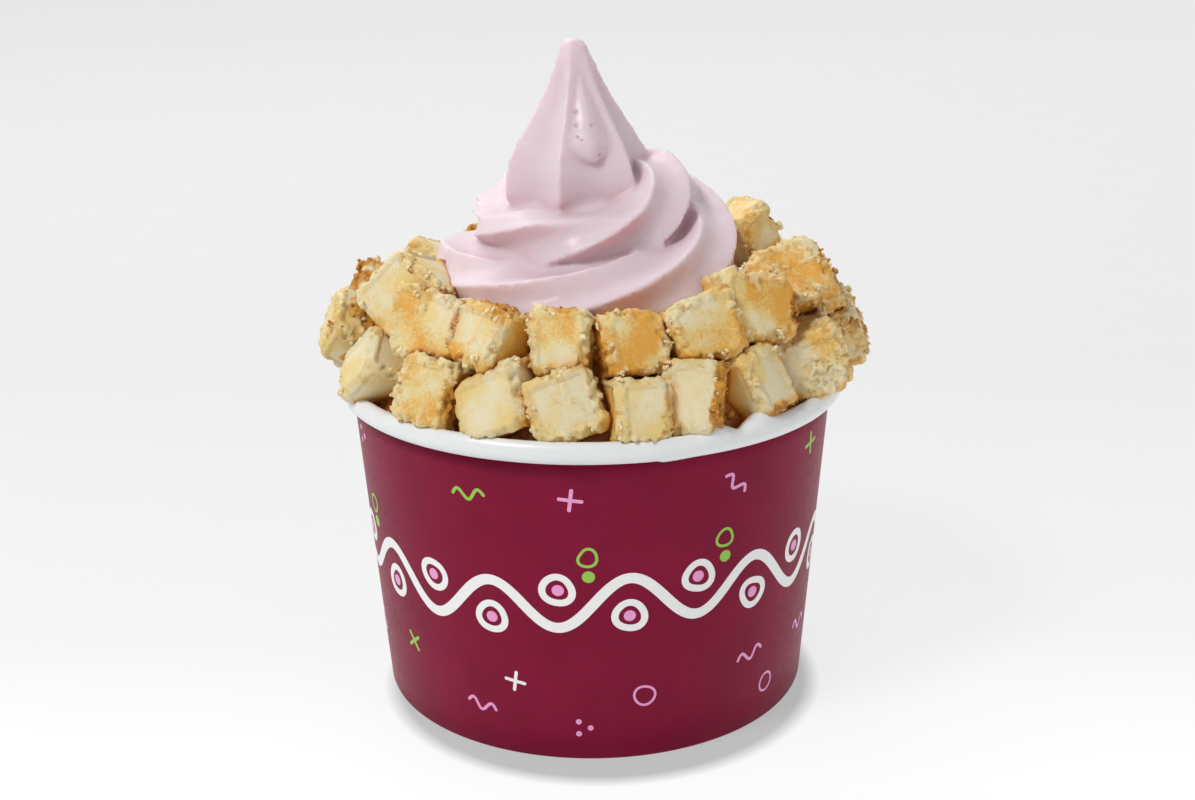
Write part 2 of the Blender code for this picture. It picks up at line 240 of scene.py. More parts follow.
class Finish:
    """A procedural material in the making. Its noises are in waves per metre of the object."""

    def __init__(self, name, **constants):
        self.material = bpy.data.materials.new(name)
        self.material.use_nodes = True
        self.tree = self.material.node_tree
        self.shader = self.tree.nodes["Principled BSDF"]
        self.place = self.tree.nodes.new("ShaderNodeTexCoord").outputs["Object"]
        for name_of_socket, value in constants.items():
            self.shader.inputs[name_of_socket.replace("_", " ")].default_value = value

    def node(self, kind, inputs, **settings):
        made = self.tree.nodes.new(kind)
        for key, value in settings.items():
            setattr(made, key, value)
        for key, value in inputs.items():
            if isinstance(value, bpy.types.NodeSocket):
                self.tree.links.new(value, made.inputs[key])
            else:
                made.inputs[key].default_value = value
        return made

    def noise(self, scale, detail=3.0, roughness=0.55):
        inputs = {"Vector": self.place, "Scale": scale, "Detail": detail, "Roughness": roughness}
        return self.node("ShaderNodeTexNoise", inputs).outputs["Fac"]

    def painted(self, name):
        return self.node("ShaderNodeAttribute", {}, attribute_name=name).outputs["Fac"]

    def spread(self, value, low, high, to_low=0.0, to_high=1.0):
        """The value, with low to high made to_low to to_high and held there outside."""
        inputs = {0: value, 1: low, 2: high, 3: to_low, 4: to_high}
        return self.node("ShaderNodeMapRange", inputs).outputs[0]

    def maths(self, operation, first, second):
        return self.node("ShaderNodeMath", {0: first, 1: second}, operation=operation).outputs[0]

    def blend(self, share, first, second):
        made = self.node("ShaderNodeMix", {0: share}, data_type="RGBA")
        for socket, colour in ((made.inputs[6], first), (made.inputs[7], second)):
            if isinstance(colour, bpy.types.NodeSocket):
                self.tree.links.new(colour, socket)
            else:
                socket.default_value = (*colour, 1.0)
        return made.outputs[2]

    def colour(self, socket):
        self.tree.links.new(socket, self.shader.inputs["Base Color"])

    def roughness(self, socket):
        self.tree.links.new(socket, self.shader.inputs["Roughness"])

    def relief(self, *layers):
        """Bump from (height, distance) layers, one over the other."""
        below = None
        for height, distance in layers:
            inputs = {"Height": height, "Distance": distance}
            if below:
                inputs["Normal"] = below
            below = self.node("ShaderNodeBump", inputs).outputs["Normal"]
        self.tree.links.new(below, self.shader.inputs["Normal"])


def lighter(colour, factor):
    return tuple(min(1.0, channel * factor) for channel in colour)


def wine_board():
    """Coated board printed in wine red: faint mottling, a fine grain and a soft gloss."""
    finish = Finish("wine_printed_board", IOR=1.46, Specular_IOR_Level=0.12)
    uneven = finish.spread(finish.noise(90), 0.35, 0.65)
    mottled = finish.blend(uneven, lighter(WINE, 0.93), lighter(WINE, 1.06))
    speckled = finish.spread(finish.noise(5200, detail=1.0), 0.60, 0.80, 0.0, 0.16)
    finish.colour(finish.blend(speckled, mottled, lighter(WINE, 1.8)))
    finish.roughness(finish.spread(finish.noise(600), 0.3, 0.7, 0.34, 0.44))
    finish.relief((finish.noise(160, detail=1.0), 0.00004), (finish.noise(3800), 0.000012))
    return finish.material


def white_board(name):
    """White coated board: bright, a little uneven, with a soft gloss."""
    finish = Finish(name, IOR=1.46)
    finish.colour(finish.blend(finish.noise(240), lighter(COATED_WHITE, 0.97), lighter(COATED_WHITE, 1.03)))
    finish.roughness(finish.spread(finish.noise(700), 0.3, 0.7, 0.26, 0.38))
    finish.relief((finish.noise(420, detail=1.0), 0.00006), (finish.noise(3600), 0.00001))
    return finish.material


def print_ink(name, colour):
    """Ink on the coated board, with the board's grain and gloss."""
    finish = Finish(name, IOR=1.46)
    finish.colour(finish.blend(finish.noise(900), lighter(colour, 0.94), lighter(colour, 1.05)))
    finish.roughness(finish.spread(finish.noise(600), 0.3, 0.7, 0.36, 0.46))
    finish.relief((finish.noise(3800), 0.00001))
    return finish.material


def yogurt_finish():
    """Dense pink soft-serve: light sinks in a little, with a moist gloss and a fine churned grain. Painted
    shade deepens the pink in hollows, under the coils and on their right sides, darkens the air holes, and
    browns it low down by the bites and the rim.
    """
    finish = Finish(
        "frozen_yogurt", IOR=1.38, Subsurface_Weight=0.45, Subsurface_Scale=0.005,
        Subsurface_Radius=(1.0, 0.5, 0.45), Coat_Weight=0.12, Coat_Roughness=0.18,
    )
    paler = finish.blend(finish.noise(130), lighter(YOGURT_PINK, 0.97), lighter(YOGURT_PINK, 1.03))
    # Painted shade: the pink deepens in hollows, under the coils and on their right sides
    shaded_pink = finish.blend(finish.painted("crease"), paler, YOGURT_PAINTED_SHADE)
    # Painted brown shade, low down by the bites and the rim
    gap_shade_colour = finish.blend(finish.spread(finish.noise(420), 0.5, 0.75), DEEP_SHADE, AMBER)
    gap_shaded = finish.blend(finish.painted("stain"), shaded_pink, gap_shade_colour)
    # Painted shade darkens the air holes
    finish.colour(finish.blend(finish.painted("hole"), gap_shaded, YOGURT_SHADE_IN_HOLES))
    finish.roughness(finish.spread(finish.noise(900), 0.3, 0.7, 0.42, 0.56))
    finish.relief((finish.noise(900, detail=2.0), 0.00010), (finish.noise(3200), 0.00005))
    return finish.material


def cheesecake_finish():
    """Baked cheesecake: cream cut faces, golden where baked, browned crust, crumbly torn edges. Painted
    amber shade falls near other bites, in crevices and on the sides away from the light, with a darker
    painted shade where bites touch; the golden is partly painted shade too.
    """
    finish = Finish(
        "cheesecake", IOR=1.42, Subsurface_Weight=0.15, Subsurface_Scale=0.002,
        Subsurface_Radius=(1.0, 0.7, 0.4),
    )
    golden = finish.maths("MULTIPLY", finish.painted("golden"), 0.7)
    paleness = finish.maths("SUBTRACT", finish.noise(120), finish.maths("MULTIPLY", golden, 0.6))
    cream = finish.blend(finish.spread(paleness, 0.38, 0.54), CREAM, PALE_CREAM)
    spotted = finish.spread(finish.noise(1100), 0.35, 0.65, 0.0, 0.3)
    mottled = finish.blend(spotted, cream, lighter(CREAM, 0.95))
    grained = finish.spread(finish.noise(1900, detail=4.0, roughness=0.7), 0.30, 0.70, 0.0, 0.5)
    patchy = finish.maths("ADD", finish.maths("ADD", finish.noise(300, detail=6.0), golden), grained)
    golden_bake_and_side_shade = finish.blend(finish.spread(patchy, 0.90, 1.30), mottled, GOLDEN)
    # Painted amber shade near other bites and on the sides away from the light
    shaded = finish.blend(finish.painted("amber"), golden_bake_and_side_shade, AMBER)
    # Darker painted shade where bites nearly touch
    contact_shaded = finish.blend(finish.painted("contact"), shaded, DEEP_SHADE)
    # Painted amber shade in small crevices
    crevice_shaded = finish.blend(finish.painted("crevice"), contact_shaded, AMBER)
    crumbed = finish.blend(finish.painted("lump"), crevice_shaded, PALE_CRUMB)
    toasted = finish.spread(finish.noise(700, detail=4.0), 0.38, 0.62)
    browned = finish.blend(toasted, lighter(AMBER, 0.9), BROWNED)
    finish.colour(finish.blend(finish.painted("crust"), crumbed, browned))
    finish.roughness(finish.spread(finish.noise(800), 0.3, 0.7, 0.38, 0.58))
    gritty = finish.noise(1300, detail=4.0, roughness=0.65)
    crumbs = finish.maths("MULTIPLY", gritty, finish.painted("crumbly"))
    finish.relief((crumbs, 0.00045), (finish.noise(2400, detail=4.0), 0.00008), (finish.noise(900), 0.00006))
    return finish.material


def wall_radius(height):
    share = height / (TUB_HEIGHT - 2 * CURL_HALF_HEIGHT)
    return WALL_FOOT_RADIUS + (WALL_TOP_RADIUS - WALL_FOOT_RADIUS) * share


def outward(bearing):
    angle = math.radians(bearing)
    return Vector((math.sin(angle), -math.cos(angle), 0.0))


def ring_grid(name, steps, section):
    """A mesh of closed sections round the Z axis: section(bearing) gives (radius, height) points."""
    bm = bmesh.new()
    rows = []
    for i in range(steps):
        bearing = 360 * i / steps
        rows.append([bm.verts.new(outward(bearing) * r + Vector((0, 0, z))) for r, z in section(bearing)])
    count = len(rows[0])
    for first, second in zip(rows, rows[1:] + rows[:1]):
        for j in range(count):
            k = (j + 1) % count
            bm.faces.new((first[j], first[k], second[k], second[j]))
    return mesh_from(bm, name)


def side_section(bearing):
    """The tub's side wall with its folded foot, a little uneven as board is."""
    angle = math.radians(bearing)
    sway = BOARD_SWAY * noise.noise((math.sin(angle) * 2, math.cos(angle) * 2, 0.7))
    top = TUB_HEIGHT - CURL_HALF_HEIGHT
    outer = [(wall_radius(top * i / 12) + sway * i / 12, top * i / 12) for i in range(12, 0, -1)]
    fold_outer = WALL_FOOT_RADIUS - BOARD - 2 * GAP - BOARD
    return [
        *outer,
        (WALL_FOOT_RADIUS + 0.00002, 0.0004),
        (WALL_FOOT_RADIUS - 0.00012, 0.00008),
        (WALL_FOOT_RADIUS - 0.0003, 0.0),
        (fold_outer - BOARD + 0.0002, 0.0),
        (fold_outer - BOARD, 0.0002),
        (fold_outer - BOARD, FOOT_FOLD_HEIGHT),
        (fold_outer, FOOT_FOLD_HEIGHT),
        (fold_outer, BOARD),
        (wall_radius(BOARD) - BOARD, BOARD),
        (wall_radius(top) - BOARD, top),
    ]


def rim_swelling(bearing, angle):
    """How far the rim stands out of its even shape: the overlapped seam's step, and soft puckers."""
    past_seam = (bearing - SEAM_BEARING + SEAM_SLANT * angle / 180) % 360
    swelling = 0.0
    if past_seam < SEAM_FADE:
        swelling += SEAM_STEP * min(1.0, past_seam / 0.5) * (1 - smooth_step(past_seam / SEAM_FADE))
    for middle, width, rise in RIM_PUCKERS:
        over = max(0.0, math.sin(math.radians(angle - 15)))
        swelling += rise * over * math.exp(-(((bearing - middle) / width) ** 2))
    return swelling


def curl_point(angle, reach):
    """A point of the rim's curl, as (radius, height), further out by reach. 0 degrees looks outward."""
    turned_to = math.radians(angle)
    radius = RIM_RADIUS - CURL_HALF_WIDTH + (CURL_HALF_WIDTH + reach) * math.cos(turned_to)
    height = TUB_HEIGHT - CURL_HALF_HEIGHT + (CURL_HALF_HEIGHT + reach) * math.sin(turned_to)
    return (radius, height)


def rim_section(bearing):
    """The rolled rim, hollow as in the solids: round outside, and open below against the wall."""
    found = []
    for i in range(CURL_STEPS + 1):
        angle = 180 + (CURL_TAIL - 180) * i / CURL_STEPS
        found.append(curl_point(angle, rim_swelling(bearing, angle) - CURL_INSET))
    for i in range(CURL_INNER_STEPS + 1):
        found.append(curl_point(CURL_TAIL + (180 - CURL_TAIL) * i / CURL_INNER_STEPS, -BOARD))
    return found


def make_tub():
    side = ring_grid("tub_side", WALL_STEPS, side_section)
    mesh_piece("tub_side", side, wine_board(), ["tub_wall"])
    rim = ring_grid("tub_rim", RIM_STEPS, rim_section)
    mesh_piece("tub_rim", rim, white_board("white_rim_board"))
    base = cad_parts["tub_base"]
    base.material_slots[0].material = white_board("white_base_board")


# The print is made of ribbons that lie on the side wall. Their paths are (round, height) points in
# millimetres, round from the front and measured half way up the wall.
PRINT_PROUD = 0.00004
PRINT_SUNK = 0.00003
MIDDLE_RADIUS = 0.0506
ROUND_THE_TUB = 2 * math.pi * MIDDLE_RADIUS / MM
THINNEST_RIBBON = 0.02
WAVES = 11
WAVE_WIDTH = 2.3
WAVE_MIDDLE = 36.5
WAVE_RISE = 5.2
DOT_FROM_WAVE = 8.6

# Rows of small marks: height, how many, and where the first one lies as a share of a step
MARK_ROWS = ((61.0, 11, 0.0), (17.0, 12, 0.4), (8.2, 9, 0.1))


def on_wall(point, proud):
    angle = point[0] * MM / MIDDLE_RADIUS
    height = point[1] * MM
    radius = wall_radius(height) + proud
    return (radius * math.sin(angle), -radius * math.cos(angle), height)


def add_ribbon(bm, path, widths, closed=False):
    """A thin ribbon along a path on the wall, as wide as widths says at each point."""
    count = len(path)
    rows = []
    for i, (point, width) in enumerate(zip(path, widths)):
        before = path[i - 1] if i or closed else point
        after = path[(i + 1) % count] if i < count - 1 or closed else point
        along = Vector((after[0] - before[0], after[1] - before[1])).normalized()
        aside = Vector((-along.y, along.x)) * (width / 2)
        left = (point[0] + aside.x, point[1] + aside.y)
        right = (point[0] - aside.x, point[1] - aside.y)
        corners = ((left, PRINT_PROUD), (right, PRINT_PROUD), (right, -PRINT_SUNK), (left, -PRINT_SUNK))
        rows.append([bm.verts.new(on_wall(corner, proud)) for corner, proud in corners])
    pairs = list(zip(rows, rows[1:]))
    if closed:
        pairs.append((rows[-1], rows[0]))
    else:
        bm.faces.new(rows[0])
        bm.faces.new(rows[-1])
    for first, second in pairs:
        for j in range(4):
            bm.faces.new((first[j], first[(j + 1) % 4], second[(j + 1) % 4], second[j]))


def add_stroke(bm, path, width):
    """A stroke of a pen: even, with round ends."""
    shares = [math.sqrt(max(0.0, 1 - (1 - i / 3) ** 2)) for i in range(3)]
    start = Vector(path[1]) - Vector(path[0])
    end = Vector(path[-1]) - Vector(path[-2])
    start.normalize()
    end.normalize()
    opening = [tuple(Vector(path[0]) - start * width / 2 * (1 - i / 3)) for i in range(3)]
    closing = [tuple(Vector(path[-1]) + end * width / 2 * (1 - i / 3)) for i in (2, 1, 0)]
    widths = [max(THINNEST_RIBBON, width * share) for share in shares]
    add_ribbon(bm, [*opening, *path, *closing], [*widths, *[width] * len(path), *reversed(widths)])


def add_dot(bm, centre, radius):
    across = [-radius * math.cos(math.pi * i / 12) for i in range(13)]
    path = [(centre[0] + x * 0.999, centre[1]) for x in across]
    widths = [2 * math.sqrt(max(0.0, radius**2 - x**2)) for x in across]
    add_ribbon(bm, path, [max(THINNEST_RIBBON, width) for width in widths])


def add_ring(bm, centre, radius, width, draw):
    """An open ring drawn by hand, not quite round."""
    wobble = [draw.uniform(-0.07, 0.07) for _ in range(3)]
    path = []
    for i in range(36):
        angle = math.radians(10 * i)
        reach = radius * (1 + sum(w * math.cos((k + 1) * angle + k) for k, w in enumerate(wobble)))
        path.append((centre[0] + reach * math.cos(angle), centre[1] + reach * math.sin(angle)))
    add_ribbon(bm, path, [width] * len(path), closed=True)


def add_plus(bm, centre, size, width, tilt):
    for angle in (tilt, tilt + 90):
        reach = Vector((math.cos(math.radians(angle)), math.sin(math.radians(angle)))) * size / 2
        path = [tuple(Vector(centre) + reach * (i / 4 - 1)) for i in range(9)]
        add_stroke(bm, path, width)


def add_squiggle(bm, centre, length, width, tilt):
    turned = Matrix.Rotation(math.radians(tilt), 2)
    path = []
    for i in range(25):
        share = i / 24
        at = Vector(((share - 0.5) * length, 0.16 * length * math.sin(3 * math.pi * share)))
        path.append(tuple(Vector(centre) + turned @ at))
    add_stroke(bm, path, width)


def wave_height(along):
    """The middle of the printed wave at a distance round the tub, in millimetres."""
    angle = along * MM / MIDDLE_RADIUS
    return WAVE_MIDDLE + WAVE_RISE * math.sin(WAVES * angle) + 1.2 * math.sin(3 * angle + 0.6)


def add_wave(layers, draw):
    """The wave round the tub's middle, with ringed dots in its bends."""
    steps = 60 * WAVES
    path = []
    for i in range(steps + 1):
        along = ROUND_THE_TUB * (i / steps - 0.5)
        path.append((along, wave_height(along)))
    add_ribbon(layers["white"], path, [WAVE_WIDTH] * len(path))
    for i in range(2 * WAVES):
        along = ROUND_THE_TUB * (i + 0.5) / (2 * WAVES)
        above = 1 if i % 2 else -1
        centre = (along, wave_height(along) + above * DOT_FROM_WAVE)
        add_ring(layers["white"], centre, 3.0, 1.5, draw)
        add_dot(layers["pink"], centre, 1.25)
        if i % 4 == 1:
            add_dot(layers["green"], (along + 6.2, centre[1] + 3.2), 1.3)
            add_ring(layers["green"], (along + 6.0, centre[1] + 7.4), 1.9, 0.6, draw)


def add_mark(bm, kind, centre, turn, draw):
    """One small mark of the print."""
    if kind == "ring":
        add_ring(bm, centre, draw.uniform(1.8, 2.4), 0.55, draw)
    elif kind == "plus":
        add_plus(bm, centre, draw.uniform(4.0, 5.0), 0.75, draw.uniform(0, 90))
    elif kind == "squiggle":
        add_squiggle(bm, centre, draw.uniform(6.0, 8.0), 0.7, draw.uniform(-50, 50))
    else:
        for k in range(3):
            angle = math.radians(120 * k + turn)
            dot = (centre[0] + 1.7 * math.cos(angle), centre[1] + 1.7 * math.sin(angle))
            add_dot(bm, dot, 0.65)


def make_print():
    """A generic confetti print: a wave with ringed dots round the tub's middle, and small marks about."""
    layers = {name: bmesh.new() for name in PRINT_COLOURS}
    draw = random.Random(5)
    add_wave(layers, draw)
    for row_height, count, offset in MARK_ROWS:
        for i in range(count):
            along = ROUND_THE_TUB * (i + offset + draw.uniform(-0.18, 0.18)) / count
            centre = (along, row_height + draw.uniform(-2.4, 2.4))
            layer = layers[draw.choice(("white", "pink", "pink", "green"))]
            kind = draw.choice(("ring", "plus", "squiggle", "dots"))
            add_mark(layer, kind, centre, 40 * i, draw)
    for name, bm in layers.items():
        mesh = mesh_from(bm, f"print_{name}")
        mesh.set_sharp_from_angle(angle=math.radians(40))
        ink = print_ink(f"print_ink_{name}", PRINT_COLOURS[name])
        mesh_piece(f"print_{name}", mesh, ink)


def star(radius, phase, flute_depth=FLUTE_DEPTH):
    """A star nozzle's section: lobes with crisp crests and hollow flutes, as (across, up) points."""
    count = ROPE_LOBES * POINTS_PER_LOBE
    found = []
    for i in range(count):
        angle = 2 * math.pi * i / count
        reach = radius * (1 - flute_depth * abs(math.sin(ROPE_LOBES / 2 * angle)) ** 0.8)
        turned_to = angle + math.radians(phase)
        found.append((reach * math.cos(turned_to), reach * math.sin(turned_to)))
    return found


def rope_place(turn):
    """The rope at a turn: its bearing, distance from the rope's axis, height, thickness and twist."""
    bearing = 270 + 360 * turn
    opened = max(0.0, turn - ROPE_OPENS_AT)
    curled = max(0.0, turn - ROPE_CURLS_AT)
    begun = smooth_step((turn - ROPE_FIRST_TURN) / 0.15)
    distance = 0.0279 - 0.0119 * turn + 0.0007 * turn**2 + 0.039 * opened**2 - 0.11 * curled**1.5
    height = 0.0926 + 0.0194 * turn - 0.0048 * turn**2 - 0.028 * opened**2 + 0.26 * curled**3
    height -= 0.0044 * math.cos(math.radians(bearing)) + 0.0040 * (1 - begun)
    thickness = (0.0095 + 0.0004 * turn - 0.02 * curled) * (0.6 + 0.4 * begun)
    twist = 3 + 278 * turn + 47 * turn**2
    return bearing, distance, height, thickness, twist


def rope_centre(turn):
    bearing, distance, height, _, _ = rope_place(turn)
    return ROPE_CENTRE + outward(bearing) * distance + Vector((0, 0, height))


def rope_pressing(turn):
    """How far the rope's top is pressed down where the peak was drawn off over it, as a share."""
    on_the_left = smooth_step((1.12 - turn) / 0.12)
    begun = smooth_step((turn - 0.78) / 0.20)
    return begun * (0.56 + 0.49 * on_the_left) * smooth_step((1.44 - turn) / 0.14)


def rope_section(turn):
    """One ring of the rope, square to its centre line."""
    bearing, _, _, thickness, twist = rope_place(turn)
    along = (rope_centre(turn + 0.01) - rope_centre(turn - 0.01)).normalized()
    across = outward(bearing)
    across = (across - along * across.dot(along)).normalized()
    up = across.cross(along)
    centre = rope_centre(turn)
    ceiling = thickness * (1 - rope_pressing(turn))
    ring = []
    for x, z in star(thickness, twist):
        above = max(0.0, z / ROPE_WIDENING - ceiling)
        ring.append(centre + across * x * ROPE_WIDENING + up * (z / ROPE_WIDENING - PRESSED_SHARE * above))
    return ring


def peak_radius(height):
    """The pulled peak has a round tip, hollow flanks above and a full foot."""
    below_tip = PEAK_TOP - height
    flank = 0.0027 + 0.30 * below_tip + 10.5 * below_tip**2
    tip = flank
    if below_tip < PEAK_TIP_RADIUS:
        tip = math.sqrt(max(0.0, 2 * PEAK_TIP_RADIUS * below_tip - below_tip**2))
    undercut = 1 - 0.14 * smooth_step((0.1122 - height) / 0.006)
    return undercut * (min(flank, tip) ** -8 + PEAK_FOOT_RADIUS**-8) ** -0.125


def peak_flute(height):
    """How deep the peak's flutes are at a height: they fade close to the tip."""
    share = (height - PEAK_FOOT) / (PEAK_TOP - PEAK_FOOT)
    return FLUTE_DEPTH * (1.1 - 0.75 * smooth_step((share - 0.80) / 0.20))


def peak_axis(height):
    share = (height - PEAK_FOOT) / (PEAK_TOP - PEAK_FOOT)
    return PEAK_CENTRE + Vector((PEAK_LEAN * share**2, 0, height))


def add_loft(bm, rings):
    """Adds a closed skin through rings of the same number of points, with a fan at each end."""
    rows = [[bm.verts.new(point) for point in ring] for ring in rings]
    for first, second in zip(rows, rows[1:]):
        for i in range(len(first)):
            j = (i + 1) % len(first)
            bm.faces.new((first[i], first[j], second[j], second[i]))
    for row in (rows[0], rows[-1]):
        middle = bm.verts.new(sum((v.co for v in row), Vector()) / len(row))
        for i in range(len(row)):
            bm.faces.new((row[i], row[(i + 1) % len(row)], middle))


def circle(centre, radius, count=96):
    return [centre + outward(360 * i / count) * radius for i in range(count)]


# The mound under the rope and the bites, as (radius, height) points from its foot to its top
MOUND_PROFILE = (
    (0.0495, 0.0660), (0.0518, 0.0690), (0.0490, 0.0740), (0.0450, 0.0790),
    (0.0400, 0.0840), (0.0368, 0.0890), (0.0335, 0.0925), (0.0242, 0.1015),
    (0.0212, 0.1070), (0.0120, 0.1125), (0.0020, 0.1168),
)


def mound_height(radius):
    """The height of the mound's top side at a distance from the tub's axis."""
    profile = MOUND_PROFILE[:0:-1]
    return float(np.interp(radius, [r for r, _ in profile], [z for _, z in profile]))


def drop_swelling(points):
    """How the teardrop in the peak's flute moves each point out: thin above, round below."""
    azimuth = math.radians(DROP_AZIMUTH)
    out = np.array((math.cos(azimuth), math.sin(azimuth)))
    aside = np.array((-out[1], out[0]))
    share = np.clip((points[:, 2] - DROP_FOOT) / (DROP_TOP - DROP_FOOT), 0, 1)
    lean = PEAK_LEAN * np.clip((points[:, 2] - PEAK_FOOT) / (PEAK_TOP - PEAK_FOOT), 0, 1) ** 2
    offset = points[:, :2] - np.array(PEAK_CENTRE)[:2] - np.stack((lean, 0 * lean), axis=1)
    round_foot = np.sqrt(np.clip(1 - (1 - share / 0.30) ** 2, 0, 1)) * (share < 0.30) + (share >= 0.30)
    width = DROP_HALF_WIDTH * (round_foot * np.clip(1.25 * (1 - share), 0, 1) ** 0.9 + 0.02)
    bulge = smooth_step(1 - np.abs(offset @ aside) / width) * round_foot * np.clip(1.4 * (1 - share), 0, 1)
    return np.outer(DROP_STANDS_OUT * bulge * (offset @ out > 0), (*out, 0.0))


def yogurt_skin():
    """The mound, the rope and the peak, under one even skin."""
    bm = bmesh.new()
    add_loft(bm, [circle(Vector((0, 0, height)), radius) for radius, height in MOUND_PROFILE])
    steps = round((ROPE_LAST_TURN - ROPE_FIRST_TURN) * ROPE_STEPS_PER_TURN)
    add_loft(bm, [rope_section(ROPE_FIRST_TURN + i / ROPE_STEPS_PER_TURN) for i in range(steps + 1)])
    rings = []
    for i in range(PEAK_STEPS + 1):
        share = i / PEAK_STEPS
        height = PEAK_FOOT + (PEAK_TOP - PEAK_FOOT) * (1 - (1 - share) ** 1.5) - PEAK_SINK
        ring = star(peak_radius(height), PEAK_FIRST_CREST, peak_flute(height))
        rings.append([peak_axis(height) + Vector((x, y, 0)) for x, y in ring])
    add_loft(bm, rings)
    return remeshed(mesh_from(bm, "yogurt_forms"), YOGURT_VOXEL, smoothing=3)


def surface_of(objects):
    """The faces of several objects, to measure distances to."""
    points = []
    faces = []
    for obj in objects:
        first = len(points)
        points.extend(vert.co.copy() for vert in obj.data.vertices)
        faces.extend([first + i for i in face.vertices] for face in obj.data.polygons)
    return BVHTree.FromPolygons(points, faces)


def distance_to(surface, points, reach):
    """How far each point is from the surface, up to the reach."""
    found = [surface.find_nearest(point, reach)[3] for point in points]
    return np.array([reach if away is None else away for away in found])


def hollowness(mesh, passes, depth):
    """For each point from 0 to 1, how far it lies in a hollow: below the mesh smoothed over and over."""
    smoothed = with_modifiers(mesh.copy(), ("SMOOTH", {"factor": 0.5, "iterations": passes}))
    rise = points_of(smoothed) - points_of(mesh)
    bpy.data.meshes.remove(smoothed)
    return np.clip(np.sum(rise * normals_of(mesh), axis=1) / depth, 0, 1)


def bite_nodes():
    return [node for name, node in sorted(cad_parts.items()) if name.startswith("bite_")]


def painted_shade_on_yogurt(mesh, points, normals):
    """For each point from 0 to 1, how much painted shade deepens its pink: in hollows, and under the coils
    and on their sides that face right, away from the key light.
    """
    under = smooth_step((0.35 - normals[:, 2]) / 0.7) * (points[:, 2] < SHADE_PAINT_TOP)
    to_the_right = np.clip(normals[:, 0], 0, 1)
    return np.maximum(0.8 * hollowness(mesh, 50, 0.0010), under * (0.25 + 0.6 * to_the_right))


def yogurt_gap_shade(points):
    """For each point from 0 to 1, how much painted brown shade it gets, low down by the bites and the rim.
    """
    by_the_rim = smooth_step((np.hypot(points[:, 0], points[:, 1]) - GAP_SHADE_RADIUS) / 0.004)
    away = distance_to(surface_of(bite_nodes()), points, GAP_SHADE_REACH)
    by_bites = smooth_step(1 - away / GAP_SHADE_REACH)
    return np.maximum(by_the_rim, by_bites) * smooth_step((GAP_SHADE_TOP - points[:, 2]) / 0.006)


def air_holes(points):
    """For each point from 0 to 1, how deep in an air hole of the peak it lies."""
    found = np.zeros(len(points))
    for azimuth, height in AIR_HOLES:
        angle = math.radians(azimuth)
        out = np.array((math.cos(angle), math.sin(angle), 0.0))
        offset = points - np.array(peak_axis(height))
        reach = offset @ out
        aside = np.linalg.norm(offset - np.outer(reach, out), axis=1)
        found = np.maximum(found, (1 - smooth_step(aside / HOLE_RADIUS)) * (reach > 0))
    return found


def make_yogurt():
    mesh = yogurt_skin()
    points = points_of(mesh)
    points += drop_swelling(points)
    move_points(mesh, points)
    normals = normals_of(mesh)
    # Painted shade in hollows, under the coils and on their right sides
    crease = painted_shade_on_yogurt(mesh, points, normals)
    # Painted brown shade low down by the bites and the rim
    stain = yogurt_gap_shade(points)
    hole = air_holes(points)
    swell = 0.00022 * noise_at(points, 160, 3.1) + 0.00007 * noise_at(points, 520, 8.4)
    points += normals * (swell - HOLE_DEPTH * hole)[:, None]
    move_points(mesh, points)
    paint(mesh, "hole", hole)
    paint(mesh, "crease", crease)
    paint(mesh, "stain", stain)
    bm = bmesh.new()
    bm.from_mesh(mesh)
    add_loft(bm, [circle(Vector((0, 0, height)), radius) for radius, height in TUB_FILL])
    bm.to_mesh(mesh)
    bm.free()
    mesh.shade_smooth()
    mesh_piece("yogurt_swirl", mesh, yogurt_finish(), ["frozen_yogurt"])


# Painted amber shade falls on the bites' sides that look this way, away from the key light
SHADED_SIDE = np.array((0.78, 0.0, -0.62))

# The ways that a bite's crusted side can look
SIDES = {
    "right": Vector((1, 0, 0)), "left": Vector((-1, 0, 0)), "top": Vector((0, 0, 1)),
    "bottom": Vector((0, 0, -1)), "front": Vector((0, -1, 0)),
}

# Each bite in view: its crusted side, how crusted, how crumbly and how golden it is
BITE_LOOKS = {
    "bite_low_01": ("right", 0.7, 0.2, 0.0),
    "bite_low_02": ("right", 0.6, 0.8, 0.5),
    "bite_low_03": ("top", 0.2, 0.1, 0.1),
    "bite_low_04": ("bottom", 0.3, 0.5, 0.4),
    "bite_low_05": ("left", 0.3, 0.2, 0.2),
    "bite_low_06": ("right", 1.0, 0.2, 0.0),
    "bite_low_07": ("bottom", 0.8, 0.2, 0.2),
    "bite_low_08": ("left", 0.9, 0.8, 0.6),
    "bite_high_01": ("left", 0.3, 0.3, 0.2),
    "bite_high_02": ("right", 0.5, 0.8, 0.6),
    "bite_high_03": ("top", 0.5, 0.6, 0.9),
    "bite_high_04": ("top", 0.5, 0.9, 0.6),
    "bite_high_05": ("left", 0.5, 0.5, 1.5),
    "bite_high_06": ("left", 0.1, 0.3, 0.7),
    "bite_high_07": ("right", 0.8, 0.5, 1.3),
    "bite_high_08": ("right", 0.4, 1.0, 1.0),
    "bite_side_01": ("top", 0.2, 0.7, 0.4),
    "bite_side_02": ("left", 0.8, 0.9, 1.1),
    "bite_side_03": ("right", 0.3, 0.8, 0.6),
    "bite_side_04": ("right", 0.4, 0.9, 0.7),
    "bite_side_05": ("top", 0.2, 0.6, 0.6),
}
BITE_VOXEL = 0.00043

# The relief of a bite: a slow warp, raised edges and crumbs, tears, and grit
WARP = 0.0008
EDGE_RISE = 0.0010
CRUMB_RISE = 0.00055
CRUMBLY_SINK = 0.00025
TEAR_DEPTH = 0.0014
GRIT = 0.00003
CRUMBLY_GRIT = 0.00026

